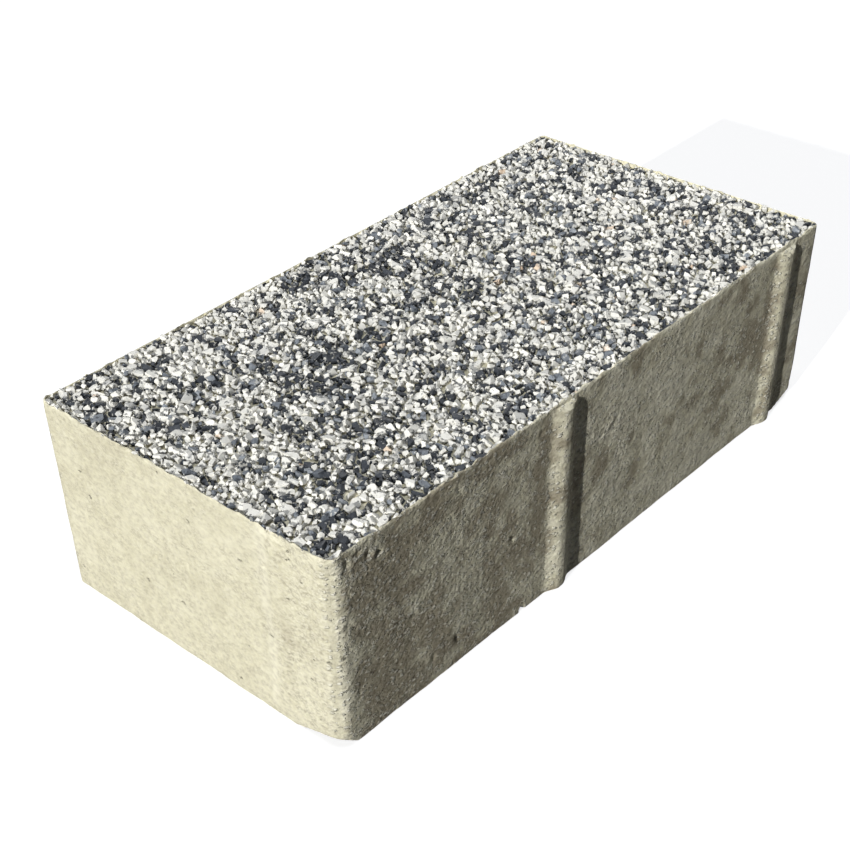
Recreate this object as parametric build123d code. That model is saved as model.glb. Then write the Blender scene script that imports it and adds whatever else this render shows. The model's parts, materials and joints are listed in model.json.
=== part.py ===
"""Concrete paving block with spacer ribs on its four sides.

One vibro-pressed piece of concrete. It lies on its bedding face, with +X along its length, +Y across
it and +Z up to the wearing face. The origin is the centre of the bedding face.

The ribs keep an open joint to the next block. Going round the block the same way, each side carries
its ribs a fixed distance before its end, so the pattern repeats after half a turn and the ribs of two
neighbours never meet.
"""

import os

from build123d import *

# Body, millimetres
BODY_LENGTH = 208.0
BODY_WIDTH = 103.0
BODY_THICKNESS = 60.0
CORNER_RADIUS = 2.5  # upright corners, in plan

# Spacer ribs, millimetres
RIB_PROJECTION = 2.0  # also the width of the joint that the ribs keep open
RIB_BASE = 11.0  # width where the rib leaves the side
RIB_CREST = 3.0  # width of the flat that touches the next block
RIB_EDGE_RADIUS = 0.8  # along both edges of the crest
RIB_END_DISTANCE = 18.0  # rib's centre line to the end of the side that it stands before
RIB_PITCH = 105.0  # between the centre lines of a long side's ribs, half of the laying module
RIB_HEAD_GAP = 1.5  # plain strip between the wearing face and the rib's head
RIB_HEAD_RUN = 0.8  # height over which the head slopes out to the full projection
RIB_ROOT = 4.0  # how far a rib's blank reaches into the body that it is fused with
LONG_SIDE_RIBS = 2
SHORT_SIDE_RIBS = 1


def block_body():
    """Plain block with rounded upright corners, standing on z = 0."""
    outline = RectangleRounded(BODY_LENGTH, BODY_WIDTH, CORNER_RADIUS)
    return extrude(outline, BODY_THICKNESS)


def rib_section():
    """Plan of one rib that stands out along -Y from a side at y = 0, its edges rounded off."""
    half_base = RIB_BASE / 2
    half_crest = RIB_CREST / 2
    plan = make_face(
        Polyline(
            (-half_base, RIB_ROOT),
            (-half_base, 0),
            (-half_crest, -RIB_PROJECTION),
            (half_crest, -RIB_PROJECTION),
            (half_base, 0),
            (half_base, RIB_ROOT),
            close=True,
        )
    )
    crest_corners = plan.vertices().group_by(Axis.Y)[0]
    return fillet(crest_corners, RIB_EDGE_RADIUS)


def rib_side_view():
    """Outline of one rib seen along X: upright crest, and a head that slopes back to the side."""
    head_top = BODY_THICKNESS - RIB_HEAD_GAP
    head_foot = head_top - RIB_HEAD_RUN
    head_slope = RIB_HEAD_RUN / RIB_PROJECTION
    return make_face(
        Plane.YZ
        * Polyline(
            (RIB_ROOT, 0),
            (-RIB_PROJECTION, 0),
            (-RIB_PROJECTION, head_foot),
            (RIB_ROOT, head_top + head_slope * RIB_ROOT),
            close=True,
        )
    )


def rib():
    """One spacer rib at x = 0 on a side at y = 0, from the bedding face to below the wearing face."""
    upright = extrude(rib_section(), BODY_THICKNESS)
    sloped = extrude(rib_side_view(), RIB_BASE, both=True)
    return upright & sloped


def side_ribs(side_length, side_distance, count):
    """The ribs of the side that faces -Y at y = -side_distance, set back from its end on the +X hand."""
    last = side_length / 2 - RIB_END_DISTANCE
    return [Pos(last - i * RIB_PITCH, -side_distance, 0) * rib() for i in range(count)]


def paving_block():
    """The whole block: the body, with each side's ribs turned into place round it."""
    long_ribs = side_ribs(BODY_LENGTH, BODY_WIDTH / 2, LONG_SIDE_RIBS)
    short_ribs = side_ribs(BODY_WIDTH, BODY_LENGTH / 2, SHORT_SIDE_RIBS)
    block = block_body()
    for half_turn in (0, 180):
        for one in long_ribs:
            block += Rot(0, 0, half_turn) * one
        for one in short_ribs:
            block += Rot(0, 0, half_turn + 90) * one
    return block


if __name__ == "__main__":
    os.makedirs("parts", exist_ok=True)
    export_step(paving_block(), "parts/paving_block.step")
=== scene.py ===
"""Looks of a concrete paving block: pressed sides with spacer ribs, and a wearing face of crushed stone.

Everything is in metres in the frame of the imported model: +X along the block, +Y across it, +Z up from the
bedding face, and the origin at the centre of that face.
"""

import json
import logging
import math
from collections.abc import Callable, Iterator
from contextlib import contextmanager
from dataclasses import dataclass, field
from enum import Enum
from itertools import product

import bmesh
import bpy
import numpy as np
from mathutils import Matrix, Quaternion, Vector

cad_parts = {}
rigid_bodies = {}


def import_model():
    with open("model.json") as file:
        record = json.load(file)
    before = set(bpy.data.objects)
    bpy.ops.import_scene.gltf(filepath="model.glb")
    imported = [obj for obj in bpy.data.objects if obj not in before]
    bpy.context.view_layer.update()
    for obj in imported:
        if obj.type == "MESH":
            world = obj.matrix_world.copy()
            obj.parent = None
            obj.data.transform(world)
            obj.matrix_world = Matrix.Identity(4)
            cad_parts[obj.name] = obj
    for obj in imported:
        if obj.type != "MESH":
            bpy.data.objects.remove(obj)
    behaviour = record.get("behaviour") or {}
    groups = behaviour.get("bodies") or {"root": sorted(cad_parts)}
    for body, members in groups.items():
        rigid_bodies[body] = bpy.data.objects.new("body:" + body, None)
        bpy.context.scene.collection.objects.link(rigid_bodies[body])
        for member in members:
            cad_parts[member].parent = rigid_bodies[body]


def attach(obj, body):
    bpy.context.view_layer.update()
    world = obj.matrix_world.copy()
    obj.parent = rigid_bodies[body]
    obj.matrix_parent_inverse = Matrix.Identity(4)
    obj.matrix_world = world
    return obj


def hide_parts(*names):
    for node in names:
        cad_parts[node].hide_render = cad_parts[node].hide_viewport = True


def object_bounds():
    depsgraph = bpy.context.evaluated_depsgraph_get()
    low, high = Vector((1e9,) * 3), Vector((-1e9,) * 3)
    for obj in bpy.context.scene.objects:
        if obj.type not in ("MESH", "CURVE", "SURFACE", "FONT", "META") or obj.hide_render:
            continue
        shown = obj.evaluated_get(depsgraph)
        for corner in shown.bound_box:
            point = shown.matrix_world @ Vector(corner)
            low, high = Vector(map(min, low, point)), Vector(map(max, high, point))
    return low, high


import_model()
CAD_LOW, CAD_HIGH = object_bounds()

MM = 0.001
CAD_NODE = "paving_block"
CAD_BODY = "root"
CHIP_TONE = "chip_tone"

# Points no farther inside than this lie on the sides, and normals with at least this share face one way
ON_SKIN = -MM / 100
FACING = 0.999

# Whole numbers that turn a lattice corner's place into a fixed value
HASH_FACTORS = np.array((374761393, 668265263, 2147483647))
HASH_SEED = 144665
HASH_MIX = 1274126177
HASH_BITS = 0xFFFFF

log = logging.getLogger("paving_block")

Colour = tuple[float, float, float]
Point = tuple[float, float, float]
# Vertices, n by 3, and triangles, m by 3
Shape = tuple[np.ndarray, np.ndarray]


class Pick(Enum):
    """What a selection in edit mode is made of."""

    EDGES = "EDGE"
    FACES = "FACE"


class Skin(Enum):
    """What the mesh keeps for the concrete's finish, each as a point attribute of that name."""

    TONE = "skin_tone"
    GRIT = "skin_grit"
    # Relief of the grains, which also sets how strongly they are painted pale as highlights
    RELIEF_AND_GLINT = "skin_relief"


class Stone(Enum):
    """Kinds of crushed stone in the wearing face, each joined into a piece of that name."""

    WHITE = "white_chips"
    CREAM = "cream_chips"
    GREY = "grey_chips"
    DARK = "dark_chips"
    WARM = "warm_chips"


@contextmanager
def edit_mode(obj: bpy.types.Object) -> Iterator[None]:
    """Open one object in edit mode, alone, and close it again.

    Args:
        obj: the mesh object to edit.
    """
    bpy.ops.object.select_all(action="DESELECT")
    obj.select_set(True)
    bpy.context.view_layer.objects.active = obj
    bpy.ops.object.mode_set(mode="EDIT")
    yield
    bpy.ops.object.mode_set(mode="OBJECT")


def add_primitive(add: Callable[..., set[str]], **settings: object) -> bpy.types.Object:
    """Add a primitive with nothing else selected.

    Args:
        add: the operator that adds it.
        **settings: what the operator is given.

    Returns:
        The new object.
    """
    bpy.ops.object.select_all(action="DESELECT")
    add(**settings)
    return bpy.context.active_object


def link_new(name: str, data: bpy.types.ID) -> bpy.types.Object:
    """Put a new object with this data into the scene.

    Args:
        name: of the object.
        data: its mesh, camera or light.

    Returns:
        The object.
    """
    obj = bpy.data.objects.new(name, data)
    bpy.context.scene.collection.objects.link(obj)
    return obj


def climb(edge: bmesh.types.BMEdge) -> float:
    """How much higher one end of an edge lies than the other."""
    return abs(edge.verts[0].co.z - edge.verts[1].co.z)


def pick(obj: bpy.types.Object, what: Pick, test: Callable[[object], bool]) -> None:
    """Select the edges or faces of an object in edit mode that pass a test, and nothing else.

    Args:
        obj: the object that is open in edit mode.
        what: whether edges or faces are picked.
        test: is given each edge or face, and says whether it is picked.
    """
    bpy.ops.mesh.select_mode(type=what.value)
    bpy.ops.mesh.select_all(action="DESELECT")
    mesh = bmesh.from_edit_mesh(obj.data)
    for item in mesh.edges if what is Pick.EDGES else mesh.faces:
        if test(item):
            item.select_set(True)
    mesh.select_flush_mode()
    bmesh.update_edit_mesh(obj.data, loop_triangles=False, destructive=False)


def points_of(obj: bpy.types.Object) -> np.ndarray:
    """All vertices of a mesh object as an array of n by 3."""
    flat = np.empty(len(obj.data.vertices) * 3)
    obj.data.vertices.foreach_get("co", flat)
    return flat.reshape(-1, 3)


def smooth_step(low: float, high: float, value: np.ndarray) -> np.ndarray:
    """0 at low and before it, 1 at high and past it, and a soft slope between them."""
    t = np.clip((value - low) / (high - low), 0.0, 1.0)
    return t * t * (3.0 - 2.0 * t)


@dataclass(frozen=True)
class LumpyNoise:
    """Seeded lattice noise in space, about -1 to 1, the same in every run.

    Attributes:
        seed: picks one pattern.
    """

    seed: int

    def _corner(self, cell: np.ndarray) -> np.ndarray:
        """A fixed value from -1 to 1 for each whole-numbered lattice corner."""
        mixed = cell @ HASH_FACTORS + self.seed * HASH_SEED
        mixed = (mixed ^ (mixed >> 13)) * HASH_MIX
        mixed = mixed ^ (mixed >> 16)
        return (mixed & HASH_BITS) / float(HASH_BITS >> 1) - 1.0

    def at(self, points: np.ndarray, size: float | Point) -> np.ndarray:
        """Noise at each point.

        Args:
            points: n by 3 places.
            size: how large a lump is, along each axis or alike.

        Returns:
            n values.
        """
        scaled = points / np.asarray(size)
        base = np.floor(scaled).astype(np.int64)
        part = scaled - base
        part = part * part * (3.0 - 2.0 * part)
        total = np.zeros(len(points))
        for corner in product((0, 1), repeat=3):
            share = np.prod(np.where(corner, part, 1.0 - part), axis=1)
            total += share * self._corner(base + np.array(corner))
        return total

    def rough(self, points: np.ndarray, size: float | Point, octaves: int) -> np.ndarray:
        """Noise with finer and weaker lumps added, each half as large as the last.

        Args:
            points: n by 3 places.
            size: how large the largest lump is, along each axis or alike.
            octaves: how many sizes are added up.

        Returns:
            n values.
        """
        total = np.zeros(len(points))
        for i in range(octaves):
            total += LumpyNoise(self.seed + 17 * i).at(points, np.asarray(size) / 2**i) / 2**i
        return total


@dataclass(frozen=True)
class Layer:
    """One layer of rough noise at a set strength.

    Attributes:
        seed: picks its pattern.
        size: how large its largest lump is, along each axis or alike.
        octaves: how many sizes are added up.
        strength: what the noise is multiplied by.
    """

    seed: int
    size: float | Point
    octaves: int = 1
    strength: float = 1.0

    def at(self, points: np.ndarray) -> np.ndarray:
        """Its value at each point."""
        return self.strength * LumpyNoise(self.seed).rough(points, self.size, self.octaves)


UNDULATION = Layer(3, 16.0 * MM, 2, 0.12 * MM)
LUMPS = Layer(4, 6.5 * MM, 2, 0.05 * MM)
SAND = Layer(5, 2.6 * MM, 3)
DRAG_MARKS = Layer(8, (1.6 * MM, 1.6 * MM, 40.0 * MM), 1, 0.012 * MM)
GOUGES = Layer(11, 3.4 * MM, 3)
TEARS = Layer(12, (1.7 * MM, 1.7 * MM, 2.6 * MM), 2)
NIBBLES = Layer(13, 4.0 * MM, 3)
RIM_DIPS = Layer(19, 2.4 * MM, 3)
RIM_WANDER = Layer(23, 2.8 * MM, 3, 0.22 * MM)
CHIP_DRIFTS = Layer(31, 34.0 * MM, 2, 0.11)
CHIP_CLUSTERS = Layer(33, 4.5 * MM, 1, 0.25)
BREAK_GRAIN = Layer(37, 2.4 * MM, 3, 0.12 * MM)
PIT_OUTLINE = Layer(43, 1.1 * MM, 1, 0.6)
BLUNT_GRAIN = Layer(47, 1.9 * MM, 2, 0.1 * MM)
BROAD_PATCHES = Layer(51, 15.0 * MM, 2, 0.14)
SMALL_PATCHES = Layer(53, 4.0 * MM, 3, 0.2)
MARK_OUTLINE = Layer(57, 2.2 * MM, 2, 0.45)
BROAD_GRIT = Layer(59, 9.0 * MM, 2)
SMALL_GRIT = Layer(61, 3.2 * MM, 2)


@dataclass(frozen=True)
class Pit:
    """A hollow in the skin, or a crumb on it.

    Attributes:
        place: its centre.
        radius: how wide it is.
        depth: how deep it is in the middle, or how high a crumb is where it is below 0.
        tall: how much taller than wide it is.
    """

    place: Point
    radius: float
    depth: float
    tall: float = 1.0

    def hollow(self, points: np.ndarray, ragged: np.ndarray) -> np.ndarray:
        """How far it pushes points in.

        Args:
            points: n by 3 places.
            ragged: n values about 1 that break up its outline.

        Returns:
            n depths.
        """
        away = (points - np.array(self.place)) / np.array((1.0, 1.0, self.tall))
        share = np.linalg.norm(away, axis=1) * ragged / self.radius
        return self.depth * np.clip(1.0 - share**2, 0.0, 1.0)


@dataclass(frozen=True)
class Mark:
    """A patch of another tone on the skin.

    Attributes:
        place: its centre.
        wide: half its width along the side.
        tall: half its height.
        tone: how much paler it is, or darker below 0.
        lean: how far it leans over along X for each step up.
    """

    place: Point
    wide: float
    tall: float
    tone: float
    lean: float = 0.0

    def shade(self, points: np.ndarray, ragged: np.ndarray) -> np.ndarray:
        """The tone that it adds at points.

        Args:
            points: n by 3 places.
            ragged: n values about 1 that break up its outline.

        Returns:
            n tones.
        """
        away = points - np.array(self.place)
        away[:, 0] -= self.lean * away[:, 2]
        share = np.linalg.norm(away / np.array((self.wide, self.wide, self.tall)), axis=1) * ragged
        return self.tone * smooth_step(1.2, 0.5, share)


# Pits of the near sides that stand out, and crumbs, whose depth is below 0: place along the side, height,
# radius and depth in millimetres, and how much taller than wide
LONG_SIDE_PITS = (
    (12.6, 55.3, 1.0, 0.3, 1.6),
    (14.2, 54.0, 0.9, -0.15, 1.3),
    (15.8, 53.2, 1.1, 0.4, 1.3),
    (19.0, 51.4, 0.8, -0.125, 1.6),
    (5.0, 38.7, 1.0, 0.3, 1.6),
    (4.4, 31.4, 1.0, 0.3, 1.6),
    (41.6, 56.4, 0.8, -0.125, 1.0),
    (43.6, 55.2, 0.9, 0.3, 1.0),
    (45.6, 54.4, 0.8, -0.125, 1.4),
    (74.4, 55.4, 0.8, -0.15, 1.4),
    (75.8, 54.4, 0.8, 0.25, 1.0),
    (65.0, 27.8, 1.1, 0.45, 1.0),
    (43.0, 8.5, 1.0, 0.45, 1.6),
    (33.8, 8.0, 0.9, 0.35, 1.6),
    (70.2, 0.0, 1.6, 1.5, 1.0),
    (96.6, 16.6, 0.8, -0.125, 1.0),
    (98.6, 15.2, 0.8, -0.15, 1.0),
    (103.2, 38.6, 0.8, -0.15, 1.5),
    (104.9, 40.6, 0.9, -0.2, 1.8),
    (106.4, 43.0, 0.8, -0.15, 1.6),
    (140.0, 46.8, 0.9, -0.2, 1.0),
)
SHORT_SIDE_PITS = (
    (21.2, 48.2, 0.9, 0.7, 1.0),
    (36.0, 43.6, 0.9, 0.4, 1.0),
    (38.4, 44.4, 0.8, 0.4, 1.0),
    (51.0, 32.5, 0.9, 0.7, 1.0),
    (63.8, 28.5, 0.8, 0.5, 1.0),
)

# Scuffs and stains of the near sides: place along the side, height, half the width and half the height in
# millimetres, tone and lean
LONG_SIDE_MARKS = (
    (104.8, 40.8, 1.6, 3.2, 0.8, 0.8),
    (97.4, 16.0, 1.8, 1.6, 0.4, 0.0),
    (126.0, 27.0, 3.0, 16.0, 0.18, 0.05),
    (131.0, 52.0, 7.0, 6.0, 0.15, 0.0),
    (140.0, 46.6, 1.0, 1.0, 0.7, 0.0),
    (181.8, 6.5, 1.2, 3.4, -0.45, 0.0),
    (44.0, 55.2, 3.0, 2.2, 0.25, 0.0),
    (66.0, 27.6, 1.0, 1.2, 0.35, 0.0),
    (55.0, 36.0, 16.0, 12.0, -0.1, 0.0),
)
SHORT_SIDE_MARKS = (
    (16.0, 16.0, 3.0, 8.0, -0.18, 0.0),
    (15.5, 34.0, 2.6, 14.0, -0.12, 0.0),
    (21.6, 33.0, 2.2, 30.0, 0.26, 0.0),
    (71.0, 17.0, 5.0, 5.0, -0.1, 0.0),
    (97.0, 18.0, 6.0, 14.0, 0.15, 0.0),
)


@dataclass(frozen=True)
class Rib:
    """One spacer rib.

    Attributes:
        outward: level direction that its side faces.
        along: level direction in which its place is measured.
        place: its centre line, from the side's middle.
        left: share of its height that wear has left.
        foot: height below which it has worn away.
    """

    outward: tuple[float, float]
    along: tuple[float, float]
    place: float
    left: float = 1.0
    foot: float = 0.0


@dataclass
class BlockBody:
    """The pressed concrete: ribbed sides, bedding face, and the sunk bed that holds the chips.

    Attributes:
        low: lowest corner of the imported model.
        high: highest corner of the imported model.
        rib_projection: how far a rib stands out of its side.
        rib_base: width of a rib at the side.
        rib_crest: width of a rib's crest.
        worn_crest: what wear has left of that width.
        rib_end: from a rib's centre line to the end of the side that it stands before.
        rib_pitch: between the ribs of a long side.
        rib_head_gap: plain strip between the wearing face and a rib's head.
        rib_head_run: height over which a head slopes out.
        corner_radius: of the upright corners.
        corner_steps: faces round an upright corner.
        skin_step: about how wide a face of the side skin is.
        rim_width: strip of cement round the chips.
        bed_depth: from the wearing face down to the bed.
        longest_span: no stretch of a side is divided in one go if it is longer.
        worn_long_rib: share of the long sides' ribs that wear has left.
        smooth_angle: sharper edges than this stay sharp, in degrees.
        front_break: what is lost of the lower front corner along X, Y and Z.
        far_break: what is lost of the lower far corner of the near long side.
        scattered_pits: how many small pits and crumbs lie about the sides.
        long_side_share: share of them on the long sides.
        pit_seed: of their places.
    """

    low: Vector
    high: Vector
    rib_projection: float = 2.0 * MM
    rib_base: float = 11.0 * MM
    rib_crest: float = 3.0 * MM
    worn_crest: float = 2.0 * MM
    rib_end: float = 18.0 * MM
    rib_pitch: float = 105.0 * MM
    rib_head_gap: float = 1.5 * MM
    rib_head_run: float = 0.8 * MM
    corner_radius: float = 2.5 * MM
    corner_steps: int = 6
    skin_step: float = 0.66 * MM
    rim_width: float = 0.5 * MM
    bed_depth: float = 1.9 * MM
    longest_span: float = 60.0 * MM
    worn_long_rib: float = 0.88
    smooth_angle: float = 38.0
    front_break: Point = (6.0 * MM, 15.5 * MM, 4.6 * MM)
    far_break: Point = (-11.0 * MM, 9.0 * MM, 4.2 * MM)
    scattered_pits: int = 420
    long_side_share: float = 0.66
    pit_seed: int = 41
    obj: bpy.types.Object = field(init=False)

    @property
    def half_length(self) -> float:
        """From the centre to a short side, without its rib."""
        return self.high.x - self.rib_projection

    @property
    def half_width(self) -> float:
        """From the centre to a long side, without its ribs."""
        return self.high.y - self.rib_projection

    @property
    def thickness(self) -> float:
        """From the bedding face to the wearing face."""
        return self.high.z - self.low.z

    def ribs(self) -> list[Rib]:
        """All ribs, the layout repeating after half a turn. The one on the near short side is worn low."""
        last_long = self.half_length - self.rib_end
        last_short = self.half_width - self.rib_end
        found = []
        for turn in (1.0, -1.0):
            for place in (last_long, last_long - self.rib_pitch):
                found.append(Rib((0.0, -turn), (turn, 0.0), place, self.worn_long_rib))
            left, foot = (1.0, 0.0) if turn > 0 else (0.25, 5.0 * MM)
            found.append(Rib((turn, 0.0), (0.0, turn), last_short, left, foot))
        return found

    def build(self) -> bpy.types.Object:
        """Model the whole body.

        Returns:
            The finished object.
        """
        middle = (0.0, 0.0, self.thickness / 2)
        self.obj = add_primitive(bpy.ops.mesh.primitive_cube_add, size=1.0, location=middle)
        self.obj.name = "block_body"
        self.obj.scale = (2 * self.half_length, 2 * self.half_width, self.thickness)
        bpy.ops.object.transform_apply(location=True, rotation=True, scale=True)
        with edit_mode(self.obj):
            self._round_corners()
            self._mark_ribs()
            self._divide_skin()
            self._sink_bed()
        self._press_ribs()
        self._weather()
        bpy.ops.object.shade_smooth_by_angle(angle=math.radians(self.smooth_angle))
        return self.obj

    def _round_corners(self) -> None:
        """Round the four upright edges."""
        pick(self.obj, Pick.EDGES, lambda e: climb(e) > self.thickness / 2)
        bpy.ops.mesh.bevel(offset=self.corner_radius, segments=self.corner_steps, affect="EDGES")

    def _side_cuts(self, half: float, centres: list[float]) -> list[float]:
        """Where one side is cut upright: at its ribs' edges, and in the middle of each long stretch.

        Args:
            half: half the length of the side.
            centres: places of its ribs.

        Returns:
            Places along the side.
        """
        edges = []
        for centre in centres:
            for offset in (self.rib_base / 2, self.rib_crest / 2):
                edges += [centre - offset, centre + offset]
        straight = half - self.corner_radius
        ends = sorted([-straight, *edges, straight])
        middles = [(a + b) / 2 for a, b in zip(ends, ends[1:]) if b - a > self.longest_span]
        return edges + middles

    def _mark_ribs(self) -> None:
        """Cut the sides along the ribs' edges."""
        sides = {(rib.outward, rib.along) for rib in self.ribs()}
        for outward, along in sorted(sides):
            places = [rib.place for rib in self.ribs() if rib.outward == outward]
            half = self.half_length if along[0] else self.half_width
            for place in self._side_cuts(half, places):
                out, way = Vector((*outward, 0.0)), Vector((*along, 0.0))
                pick(self.obj, Pick.FACES, lambda f, n=out: f.normal.dot(n) > FACING)
                bpy.ops.mesh.bisect(plane_co=way * place, plane_no=way)

    def _divide_skin(self) -> None:
        """Divide the sides into faces of about the skin's step each way."""
        mesh = bmesh.from_edit_mesh(self.obj.data)
        level = [e.calc_length() for e in mesh.edges if climb(e) < MM / 10]
        counts = {round(length / self.skin_step) - 1 for length in level}
        for cuts in sorted(n for n in counts if n > 0):
            pick(
                self.obj,
                Pick.EDGES,
                lambda e, n=cuts: climb(e) < MM / 10 and round(e.calc_length() / self.skin_step) - 1 == n,
            )
            bpy.ops.mesh.subdivide(number_cuts=cuts)
        pick(self.obj, Pick.EDGES, lambda e: climb(e) > self.thickness / 2)
        bpy.ops.mesh.subdivide(number_cuts=round(self.thickness / self.skin_step) - 1)

    def _sink_bed(self) -> None:
        """Leave a strip of cement round the wearing face, with painted shade at the far end, and sink the
        bed in it.
        """
        pick(self.obj, Pick.FACES, lambda f: f.normal.z > FACING)
        bpy.ops.mesh.inset(thickness=self.rim_width)
        bpy.ops.mesh.extrude_region_move(TRANSFORM_OT_translate={"value": (0.0, 0.0, -self.bed_depth)})
        bpy.ops.mesh.select_more()
        mesh = bmesh.from_edit_mesh(self.obj.data)
        for face in mesh.faces:
            # Painted shade: the bed, its walls and the far end's strip get the bed's dark finish
            at_far_end = face.calc_center_median().x > self.half_length - self.rim_width
            dark = face.select or (face.normal.z > FACING and at_far_end)
            face.material_index = 1 if dark else 0

    def outward(self, points: np.ndarray) -> tuple[np.ndarray, np.ndarray]:
        """How far points lie outside the plain sides, and which way is out there.

        Args:
            points: n by 3 places.

        Returns:
            n distances, negative inside, and n by 3 level directions.
        """
        half = np.array((self.half_length, self.half_width)) - self.corner_radius
        over = np.abs(points[:, :2]) - half
        beyond = np.maximum(over, 0.0)
        reach = np.linalg.norm(beyond, axis=1)
        inside = np.minimum(over.max(axis=1), 0.0)
        way = np.zeros_like(points)
        way[:, :2] = np.sign(points[:, :2]) * beyond / np.maximum(reach, 1e-12)[:, None]
        return reach + inside - self.corner_radius, way

    def _press_ribs(self) -> None:
        """Push the ribs out of the sides, with heads that slope back below the wearing face."""
        points = points_of(self.obj)
        distance, way = self.outward(points)
        head = (self.thickness - self.rib_head_gap - points[:, 2]) / self.rib_head_run
        skin = distance > ON_SKIN
        push = np.zeros(len(points))
        for rib in self.ribs():
            facing = way[:, :2] @ np.array(rib.outward)
            offset = np.abs(points[:, :2] @ np.array(rib.along) - rib.place)
            flank = (self.rib_base / 2 - offset) / (self.rib_base - self.worn_crest) * 2
            rise = np.clip(np.minimum(flank, head), 0.0, 1.0)
            rise = 0.5 * rise + 0.5 * smooth_step(0.0, 1.0, rise)
            if rib.foot:
                rise *= smooth_step(0.0, rib.foot, points[:, 2])
            push += np.where(skin & (facing > FACING), rise * rib.left, 0.0)
        points += way * (push * self.rib_projection)[:, None]
        self._set_points(points)

    def _set_points(self, points: np.ndarray) -> None:
        """Put the vertices at these places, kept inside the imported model's box."""
        held = np.clip(points, np.array(self.low), np.array(self.high))
        self.obj.data.vertices.foreach_set("co", held.ravel())
        self.obj.data.update()

    def _near_long(self, along: float, height: float) -> Point:
        """A place on the long side that faces -Y, in millimetres from its near lower end."""
        return (along * MM - self.half_length, -self.half_width, height * MM)

    def _near_short(self, along: float, height: float) -> Point:
        """A place on the short side that faces -X, in millimetres from its front lower end."""
        return (-self.half_length, along * MM - self.half_width, height * MM)

    def _pits(self) -> list[Pit]:
        """Air holes, gouges and crumbs: those that stand out on the near sides, and scattered small ones.

        Returns:
            All pits.
        """
        found = []
        for spot, rows in ((self._near_long, LONG_SIDE_PITS), (self._near_short, SHORT_SIDE_PITS)):
            for along, height, radius, depth, tall in rows:
                found.append(Pit(spot(along, height), radius * MM, depth * MM, tall))
        draw = np.random.default_rng(self.pit_seed)
        for _ in range(self.scattered_pits):
            around = draw.uniform(-1.0, 1.0)
            high = draw.uniform(1.0 * MM, self.thickness - 1.0 * MM)
            turn = draw.choice((-1.0, 1.0))
            if draw.uniform() < self.long_side_share:
                place = (around * self.half_length, turn * self.half_width, high)
            else:
                place = (turn * self.half_length, around * self.half_width, high)
            wide = draw.uniform(0.7, 1.1) * MM
            found.append(Pit(place, wide, wide * draw.uniform(-0.22, 0.22)))
        return found

    def _marks(self) -> list[Mark]:
        """Scuffs and stains that stand out on the near sides.

        Returns:
            All marks.
        """
        found = []
        for spot, rows in ((self._near_long, LONG_SIDE_MARKS), (self._near_short, SHORT_SIDE_MARKS)):
            for along, height, wide, tall, tone, lean in rows:
                found.append(Mark(spot(along, height), wide * MM, tall * MM, tone, lean))
        return found

    def _weather(self) -> None:
        """Give the skin its sand, hollows, worn edges, broken corners and tones."""
        points = points_of(self.obj)
        distance, way = self.outward(points)
        skin = distance > ON_SKIN
        self._paint(points)
        self._wear_skin(points, way, skin)
        self._wear_rim(points, way, skin, distance)
        self.blunt_front(points, BLUNT_GRAIN.at(points))
        front = np.array((-self.half_length, -self.half_width, 0.0))
        far = np.array((self.half_length, -self.half_width, 0.0))
        self._break_corner(points, front, np.array(self.front_break))
        self._break_corner(points, far, np.array(self.far_break))
        self._set_points(points)

    @staticmethod
    def _break_corner(points: np.ndarray, corner: np.ndarray, size: np.ndarray) -> None:
        """Take off a lower corner along a flat, grainy break.

        Args:
            points: n by 3 places, which are moved.
            corner: where the corner was.
            size: how much is lost along X, Y and Z.
        """
        inward = 1.0 / size
        steepness = np.linalg.norm(inward)
        over = (1.0 - (points - corner) @ inward) / steepness + BREAK_GRAIN.at(points)
        near = np.linalg.norm(points - corner, axis=1) < 1.4 * np.abs(size).max()
        points += np.where(near, np.maximum(over, 0.0), 0.0)[:, None] * inward / steepness

    def blunt_front(self, points: np.ndarray, slack: np.ndarray | float) -> None:
        """Keep points inside the front upright edge, which is worn rounder than the others.

        Args:
            points: n by 3 places, which are moved.
            slack: how far beyond the worn edge they may be.
        """
        high = smooth_step(self.thickness - 5.0 * MM, self.thickness, points[:, 2])
        radius = (4.6 - 1.7 * high) * MM
        corner = -np.array((self.half_length, self.half_width))
        away = points[:, :2] - (corner + radius[:, None])
        reach = np.linalg.norm(away, axis=1)
        outside = (away < 0.0).all(axis=1) & (reach > radius + slack)
        pull = np.where(outside, (radius + slack) / np.maximum(reach, MM / 100), 1.0)
        points[:, :2] += away * (pull - 1.0)[:, None]

    def _on_near_long(self, points: np.ndarray) -> np.ndarray:
        """1 on the long side that faces -Y, and 0 elsewhere."""
        return smooth_step(self.half_width - 0.5 * MM, self.half_width - 0.1 * MM, -points[:, 1])

    def _from_front(self, points: np.ndarray) -> np.ndarray:
        """How far points lie from the front upright edge."""
        return np.hypot(points[:, 0] + self.half_length, points[:, 1] + self.half_width)

    def _torn(self, points: np.ndarray) -> np.ndarray:
        """How much of the skin is torn, from 0 to 1: high up on the near long side, by the front corner."""
        by_corner = smooth_step(26.0 * MM, 6.0 * MM, self._from_front(points))
        return self._on_near_long(points) * by_corner * smooth_step(46.0 * MM, 56.0 * MM, points[:, 2])

    def _tears(self, points: np.ndarray) -> np.ndarray:
        """How deep the small tears in the torn skin are at each point, from 0 to about 1."""
        return np.maximum(self._torn(points) * TEARS.at(points) - 0.2, 0.0)

    def _paint(self, points: np.ndarray) -> None:
        """Keep the skin's tone, coarseness and relief with the mesh, where the concrete's finish reads them.

        Args:
            points: n by 3 places.
        """
        long_side = self._on_near_long(points)
        short_side = smooth_step(self.half_length - 0.5 * MM, self.half_length - 0.1 * MM, -points[:, 0])
        near = smooth_step(30.0 * MM, -75.0 * MM, points[:, 0])
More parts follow.
